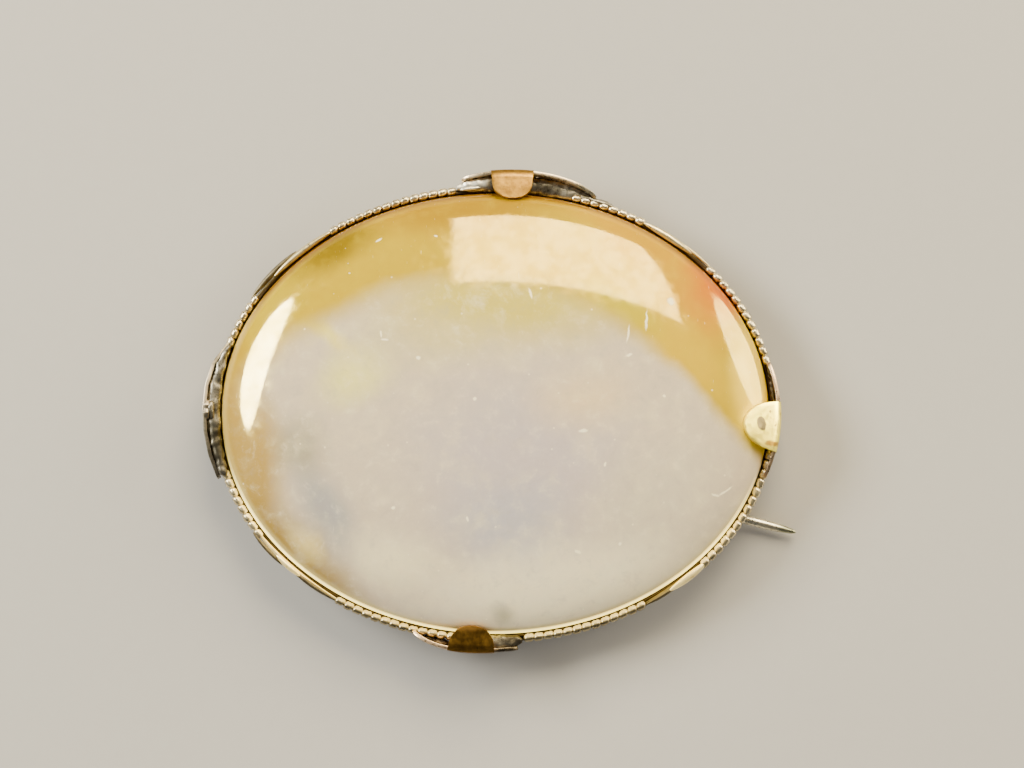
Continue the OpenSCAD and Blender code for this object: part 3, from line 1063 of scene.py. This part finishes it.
# Its torn top: share of half the width, and height above the fold in millimetres
STUMP_TOP = [(-1, -0.1), (-0.5, 0.16), (-0.1, 0.04), (0.3, 0.22), (0.7, 0.1), (1, -0.1)]
stump_centre, stump_width = STRAPS["left"][3:5]
stump_half = stump_width * MM / 2
along = strap_run("left", stump_centre)
stump_rows = [(along + at * stump_half, claw_root_z, fold_z + top * MM) for at, top in STUMP_TOP]
stump = strip("claw_stump", stump_rows, STUMP_CUTS)
shift(stump, (0, CLAW_THICKNESS / 2 - STRAP_THICKNESS + STUMP_LEAN, 0))
apply_modifier(stump, "SOLIDIFY", thickness=CLAW_THICKNESS, offset=0)
soften(stump, CLAW_EDGE / 2)
bend_along(stump, strap_path("left"))
wear(stump, STUMP_WEAR, STUMP_GRAIN)
finish_skin(stump)
hand_over(stump, grey)


# Solder: grey lead solder of old repairs, run into the gaps between the straps and the
# collet. It is lumpy and full of pits, and at the left it fills the whole gap.
SOLDER_SIDES = 14
SOLDER_STEP = 0.2 * MM
SOLDER_BITE = 0.12 * MM
# How thin the ends of a run are and how full its middle is, as for the laps
SOLDER_END = 0.3
SOLDER_SWELL = 0.4
# How high its lumps are, and how far apart
SOLDER_LUMPS = 0.34 * MM
SOLDER_GRAIN = 0.42 * MM
# A run: name, strap, start and end in degrees, then in millimetres its inner edge, outer
# edge (none: the strap), half height and height over the wire's middle
SOLDER = [
    ("top_left", "top", 86.5, 97.6, 0.14, None, 0.30, 0.14),
    ("top_left_bit", None, 93.0, 97.2, 0.24, 0.62, 0.18, 0.36),
    ("top_right", "top", 69.0, 87.0, 0.12, None, 0.26, -0.04),
    ("top_fillet", None, 65.0, 74.5, 0.40, 0.92, 0.28, 0.02),
    ("left", "left", 162.5, 196.4, 0.02, None, 0.42, 0.52),
    ("left_block", None, 177.0, 182.0, 0.5, 1.15, 0.30, 0.86),
    ("right_high", "right", 2.0, 12.5, 0.14, None, 0.18, -0.24),
    ("right_bit", None, 9.5, 13.5, 0.34, 0.60, 0.14, 0.10),
    ("right_low", "right", -16.0, -9.5, 0.30, None, 0.24, -0.10),
    ("bottom_left", "bottom", 254.5, 261.0, 0.62, None, 0.22, -0.70),
    ("bottom_right", "bottom", 265.0, 275.5, 0.10, None, 0.26, 0.06),
]
# The first zone is painted light: it lightens the solder left of the top claw almost to white.
solder_finish = metal(
    "old_solder", (176, 169, 152), (100, 95, 83), (14, 12, 9), 0.32, 0.9, pits=0.8,
    zones=[
        ((-2.8, 18.9), (2.6, 1.0), 0, 0.6, (255, 250, 236), 0.95),
        ((3.0, -18.3), (3.4, 1.0), 0, 0.5, (66, 60, 50), 0.8),
        ((-22.9, -2.8), (1.2, 2.4), 0, 0.5, (66, 62, 50), 0.8),
    ],
)


def solder_reach(side, outer, angle):
    """How far a run goes outside the stone's edge: into its strap, or to its own edge."""
    return outer * MM if side is None else strap_offset(side, angle) + SOLDER_BITE


for name, side, start, end, inner, outer, half_h, lift in SOLDER:
    solder_path = lay_path(
        "solder_path", start, end, lambda angle: (inner * MM + solder_reach(side, outer, angle)) / 2
    )
    length = path_length(solder_path)
    steps = round(length / SOLDER_STEP)
    solder_rows = []
    for i in range(steps + 1):
        share = i / steps
        size = bulge(share, SOLDER_END, SOLDER_SWELL)
        half_w = (solder_reach(side, outer, start + (end - start) * share) - inner * MM) / 2
        solder_rows.append((length * share, half_w * size, half_h * MM * size))
    lump = rod("solder_" + name, SOLDER_SIDES, solder_rows)
    close_holes(lump)
    bend_along(lump, solder_path)
    shift(lump, (0, 0, wire_z + lift * MM))
    wear(lump, SOLDER_LUMPS, SOLDER_GRAIN)
    finish_skin(lump, smooth_angle=70)
    hand_over(lump, solder_finish)


# Hinge: two drilled knuckles soldered under the collet at the left, with the pin's eye
# between them and a rivet through all three, hammered over at its ends.
hinge = frame["record"]["behaviour"]["joints"][0]
hinge_place = Vector(hinge["pos_m"])
hinge_axis = Vector(hinge["axis"])
pin_turn = math.atan2(-hinge_axis.x, hinge_axis.y)
KNUCKLE_RADIUS = 0.75 * MM
KNUCKLE_WIDTH = 1.5 * MM
EYE_RADIUS = 0.62 * MM
EYE_WIDTH = 1.5 * MM
HINGE_PLAY = 0.08 * MM
BORE_RADIUS = 0.3 * MM
KNUCKLE_EDGE = 0.05 * MM
# How far the foot of a knuckle reaches into the collet, and the faces it grows from: how
# much they look up, and how far from the middle they lie as a share of the width
FOOT_BITE = 0.15 * MM
FOOT_FACING = 0.72
FOOT_SHARE = 0.4
BARREL_SIDES = 40
# How much the ends of a barrel look along it
END_FACING = 0.9


def drilled_barrel(name, length, radius):
    """A short barrel that lies across the pin, with a hole drilled through it."""
    set_aside()
    bpy.ops.mesh.primitive_cylinder_add(
        vertices=BARREL_SIDES, radius=radius, depth=length, rotation=(math.pi / 2, 0, 0)
    )
    barrel = begin(name)
    pick_faces(barrel, lambda face: abs(face.normal.y) > END_FACING)
    bpy.ops.mesh.inset(thickness=radius - BORE_RADIUS)
    bpy.ops.mesh.bridge_edge_loops()
    bpy.ops.object.mode_set(mode="OBJECT")
    return barrel


def set_at_hinge(piece):
    """Turn a piece into the line of the pin and move it to the hinge."""
    take_up(piece)
    piece.rotation_euler = (0, 0, pin_turn)
    piece.location = hinge_place
    bpy.ops.object.transform_apply()


def on_top(face):
    """Whether a face of a knuckle looks up and isn't one of its ends."""
    return face.normal.z > FOOT_FACING and abs(face.center.y) < KNUCKLE_WIDTH * FOOT_SHARE


hinge_metal = metal("hinge_brass", (206, 178, 122), (136, 108, 68), (32, 22, 12), 0.30, 0.7)
foot_z = base_z + FOOT_BITE - hinge_place.z
for side, mark in ((-1, "near"), (1, "far")):
    knuckle = drilled_barrel("hinge_knuckle_" + mark, KNUCKLE_WIDTH, KNUCKLE_RADIUS)
    pick_faces(knuckle, on_top)
    pull((0, 0, foot_z - KNUCKLE_RADIUS))
    resize((1, 1, 0), (0, 0, foot_z))
    bpy.ops.object.mode_set(mode="OBJECT")
    shift(knuckle, (0, side * (EYE_WIDTH / 2 + HINGE_PLAY + KNUCKLE_WIDTH / 2), 0))
    soften(knuckle, KNUCKLE_EDGE)
    set_at_hinge(knuckle)
    finish_skin(knuckle)
    hand_over(knuckle, hinge_metal)

rivet = frame["nodes"]["hinge_rivet"]
rivet.data.materials.clear()
rivet.data.materials.append(hinge_metal)


# Catch: a strip of the same brass bent round to a C and soldered under the collet. The
# pin lies in its mouth, and is sprung sideways under the lip when the brooch is worn.
CATCH_WIDTH = 2 * MM
CATCH_STRIP = 0.3 * MM
CATCH_EDGE = 0.04 * MM
CATCH_STEPS = 36
# How far the strip is let into the collet
CATCH_BITE = 0.08 * MM
# Where the catch stands along the pin, and beside the pin the start of its foot, the middle
# of its bend and the end of its lip
CATCH_AT = 42.1 * MM
CATCH_FOOT = -0.7 * MM
CATCH_CENTRE = 1.02 * MM
CATCH_LIP = 0.56 * MM
catch_radius = (base_z + CATCH_BITE) / 2
catch_z = catch_radius - hinge_place.z
catch_middle = catch_radius - CATCH_STRIP / 2
lip_turn = math.pi * 1.5 - math.acos((CATCH_CENTRE - CATCH_LIP) / catch_middle)
set_aside()
bpy.ops.mesh.primitive_plane_add(size=1, rotation=(math.pi / 2, 0, 0))
catch = begin("catch")
resize((CATCH_WIDTH, 1, CATCH_STRIP))
bpy.ops.transform.translate(value=(CATCH_AT, CATCH_FOOT, catch_z + catch_middle))
pull((0, CATCH_CENTRE - CATCH_FOOT, 0))
bpy.ops.mesh.spin(
    steps=CATCH_STEPS, angle=lip_turn, center=(CATCH_AT, CATCH_CENTRE, catch_z), axis=(1, 0, 0)
)
weld(catch, WELD)
close_holes(catch)
face_outwards(catch)
soften(catch, CATCH_EDGE)
set_at_hinge(catch)
finish_skin(catch)
hand_over(catch, hinge_metal)


# Pin: hard drawn wire, its root flattened and drilled into an eye that turns on the
# rivet, its far end filed to a blunt point that shows past the lower right edge.
PIN_SIDES = 20
EYE_EDGE = 0.08 * MM
# Place along the pin from the hinge, and radius, in millimetres
PIN_PROFILE = [
    (0.36, 0.42), (1.2, 0.43), (2.4, 0.41), (2.9, 0.38), (12, 0.38), (24, 0.38), (36, 0.38),
    (43.6, 0.38), (44.8, 0.38), (45.5, 0.365), (46.0, 0.345), (46.4, 0.315), (46.8, 0.27),
    (47.15, 0.225), (47.4, 0.175), (47.54, 0.12), (47.6, 0.05),
]
stem_rows = [(at * MM, radius * MM, radius * MM) for at, radius in PIN_PROFILE]
stem = rod("pin_stem", PIN_SIDES, stem_rows)
close_holes(stem)
face_outwards(stem)
pin = drilled_barrel("pin_wire", EYE_WIDTH, EYE_RADIUS)
face_outwards(pin)
soften(pin, EYE_EDGE, segments=3)
apply_modifier(pin, "BOOLEAN", object=stem, operation="UNION", solver="EXACT")
bpy.data.objects.remove(stem)
set_at_hinge(pin)
finish_skin(pin)
pin_metal = metal(
    "pin_wire_metal", (255, 246, 218), (210, 200, 170), (52, 46, 34), 0.22, 0.6,
    zones=[((24.2, -9.4), (1.2, 1.0), 0, 0.6, (150, 154, 124), 0.8)],
)
hand_over(pin, pin_metal, body="pin_wire", node="pin")


# Floor: a sheet of pale paper with a faint grain, which the brooch lies on. It is there to
# take its shadow, and isn't part of the brooch.
FLOOR_SIZE = 1.2
set_aside()
bpy.ops.mesh.primitive_plane_add(size=FLOOR_SIZE)
floor = bpy.context.object
floor.name = "floor"
floor_finish, tree, shader = new_finish("pale_paper")
place = in_millimetres(tree)
grain = noise(tree, place, 0.8, 4.0, 0.6)
paper = blend(tree, times(tree, grain, 0.5), tone(180, 177, 172), tone(188, 185, 180))
fit(tree, shader, {"Base Color": paper, "Roughness": 0.7})
floor.data.materials.append(floor_finish)


# Camera: nearly straight above, as in the photograph, and as far off as makes the picture
# this wide at the height of the stone's edge.
PICTURE_WIDTH = 83.9 * MM
PICTURE_CENTRE = (1.39 * MM, 2.34 * MM)
CAMERA_DISTANCE = 0.3
NEAREST_SEEN = 0.01
# Degrees above the table, and the width of the sensor in millimetres
CAMERA_ANGLE = 84
SENSOR = 36
target = Vector((*PICTURE_CENTRE, girdle_z))
bpy.ops.object.camera_add()
camera = bpy.context.object
camera.name = "camera"
rise = math.radians(CAMERA_ANGLE)
toward = Vector((0, -math.cos(rise), math.sin(rise)))
camera.location = target + toward * CAMERA_DISTANCE
camera.rotation_euler = toward.to_track_quat("Z", "Y").to_euler()
camera.data.sensor_width = SENSOR
camera.data.lens = SENSOR * CAMERA_DISTANCE / PICTURE_WIDTH
camera.data.clip_start = NEAREST_SEEN
bpy.context.scene.camera = camera


# Windows: three soft area lights whose reflections lie on the stone as in the photograph.
# Just behind each stands its gleam, a second lamp that is seen in the polish of the stone
# and of the bright right claw alone.
WINDOW_DISTANCE = 0.5
GLEAM_DISTANCE = 0.505
# A window: name, azimuth from straight behind (positive to the right), zenith and roll in
# degrees, width and height in metres, shape
WINDOWS = [
    ("window_top", 15.1, 45.9, 14, 0.308, 0.31, "RECTANGLE"),
    ("window_left", -67.5, 54.0, 12, 0.32, 0.18, "ELLIPSE"),
    ("window_right", 66, 79, 4, 0.31, 0.50, "ELLIPSE"),
]
# Power and colour of each window and of its gleam
LAMPS = {
    "window_top": (4.0, (1.0, 0.85, 0.56)),
    "window_top_gleam": (10.0, (1.0, 0.70, 0.20)),
    "window_left": (4.0, (1.0, 0.97, 0.85)),
    "window_left_gleam": (15.0, (1.0, 0.93, 0.60)),
    "window_right": (3.6, (1.0, 0.86, 0.58)),
    "window_right_gleam": (12.0, (1.0, 0.80, 0.32)),
}
polished = bpy.data.collections.new("polished_stone")
polished.objects.link(stone)
polished.objects.link(right_claw)


def area_light(name, aim, distance, turned, power, colour):
    """A soft light that looks back at the brooch from a distance along its aim."""
    bpy.ops.object.light_add(type="AREA", location=aim * distance)
    lamp = bpy.context.object
    lamp.name = name
    lamp.rotation_euler = turned.to_euler()
    lamp.data.energy = power
    lamp.data.color = colour
    return lamp


for name, azimuth, zenith, roll, width, height, shape in WINDOWS:
    side = math.radians(azimuth)
    tilt = math.radians(zenith)
    aim = Vector((math.sin(side) * math.sin(tilt), math.cos(side) * math.sin(tilt), math.cos(tilt)))
    turned = aim.to_track_quat("Z", "Y") @ Quaternion((0, 0, 1), math.radians(roll))
    for lamp_name, distance in ((name, WINDOW_DISTANCE), (name + "_gleam", GLEAM_DISTANCE)):
        lamp = area_light(lamp_name, aim, distance, turned, *LAMPS[lamp_name])
        lamp.data.shape = shape
        lamp.data.size = width
        lamp.data.size_y = height
    lamp.visible_diffuse = False
    lamp.light_linking.receiver_collection = polished


# Fill: a weak light from the front that no polished surface mirrors, and a dim even glow
# from all round.
FILL_AIM = Vector((0.1, -0.8, 0.6))
FILL_SIZE = 0.5
FILL_POWER = 1.2
FILL_COLOUR = (1.0, 0.97, 0.92)
ROOM_STRENGTH = 0.14
ROOM_COLOUR = (0.95, 0.92, 0.86, 1)
turned = FILL_AIM.to_track_quat("Z", "Y")
fill = area_light("front_fill", FILL_AIM, WINDOW_DISTANCE, turned, FILL_POWER, FILL_COLOUR)
fill.data.size = FILL_SIZE
fill.visible_glossy = False

world = bpy.data.worlds.new("studio")
bpy.context.scene.world = world
world.use_nodes = True
room = world.node_tree.nodes["Background"]
room.inputs["Color"].default_value = ROOM_COLOUR
room.inputs["Strength"].default_value = ROOM_STRENGTH
